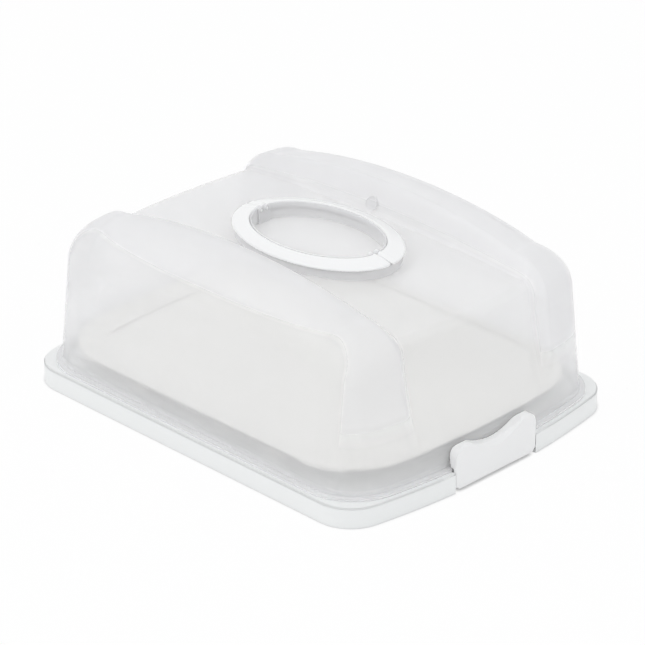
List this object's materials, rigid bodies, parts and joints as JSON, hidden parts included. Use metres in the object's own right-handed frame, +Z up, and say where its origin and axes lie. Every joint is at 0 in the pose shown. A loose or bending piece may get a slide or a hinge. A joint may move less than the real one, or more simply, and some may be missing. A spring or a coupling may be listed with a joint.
{
  "type": "cake carrier with hinged lid",
  "caption": "Rectangular cake carrier: a bow-ended tray, a lift-out serving plate on feet, a domed valley lid hinged at one end, an end latch and a folding ring handle.",
  "frame": {"origin": "on the table, under the middle of the tray", "axes": "+X along the tray to the latch, +Y across it to the rear, +Z up"},
  "size_m": [0.45, 0.344, 0.1805],
  "materials": {
    "tray_white": "satin moulded white plastic with a faint green-grey tinge",
    "plate_white": "satin moulded warm white plastic",
    "lid_frosted": "translucent pale grey plastic, frosted on the ridges, clearer in the valley and the side panels",
    "pin_steel": "drawn steel",
    "latch_white": "satin moulded white plastic",
    "handle_white": "glossy moulded white plastic"
  },
  "bodies": {
    "base": {"base_tray": "tray_white", "hinge_pin": "pin_steel"},
    "plate": {"serving_plate": "plate_white"},
    "cover": {"lid": "lid_frosted"},
    "latch": {"end_latch": "latch_white"},
    "bail_front": {"handle_front": "handle_white"},
    "bail_rear": {"handle_rear": "handle_white"}
  },
  "joints": [
    {"name": "lid_hinge", "type": "hinge", "parent": "base", "child": "cover", "pos_m": [-0.2196, 0, 0.0246], "axis": [0, -1, 0], "range_deg": [0, 105]},
    {"name": "latch_hinge", "type": "hinge", "parent": "base", "child": "latch", "pos_m": [0.2207, 0, 0.006], "axis": [0, 1, 0], "range_deg": [0, 85]},
    {"name": "plate_lift", "type": "slide", "parent": "base", "child": "plate", "axis": [0, 0, 1], "range_m": [0, 0.006]},
    {"name": "bail_front_pivot", "type": "hinge", "parent": "cover", "child": "bail_front", "pos_m": [0, -0.0037, 0.163], "axis": [-1, 0, 0], "range_deg": [0, 90]},
    {"name": "bail_rear_pivot", "type": "hinge", "parent": "cover", "child": "bail_rear", "pos_m": [0, 0.0037, 0.163], "axis": [1, 0, 0], "range_deg": [0, 90]}
  ]
}
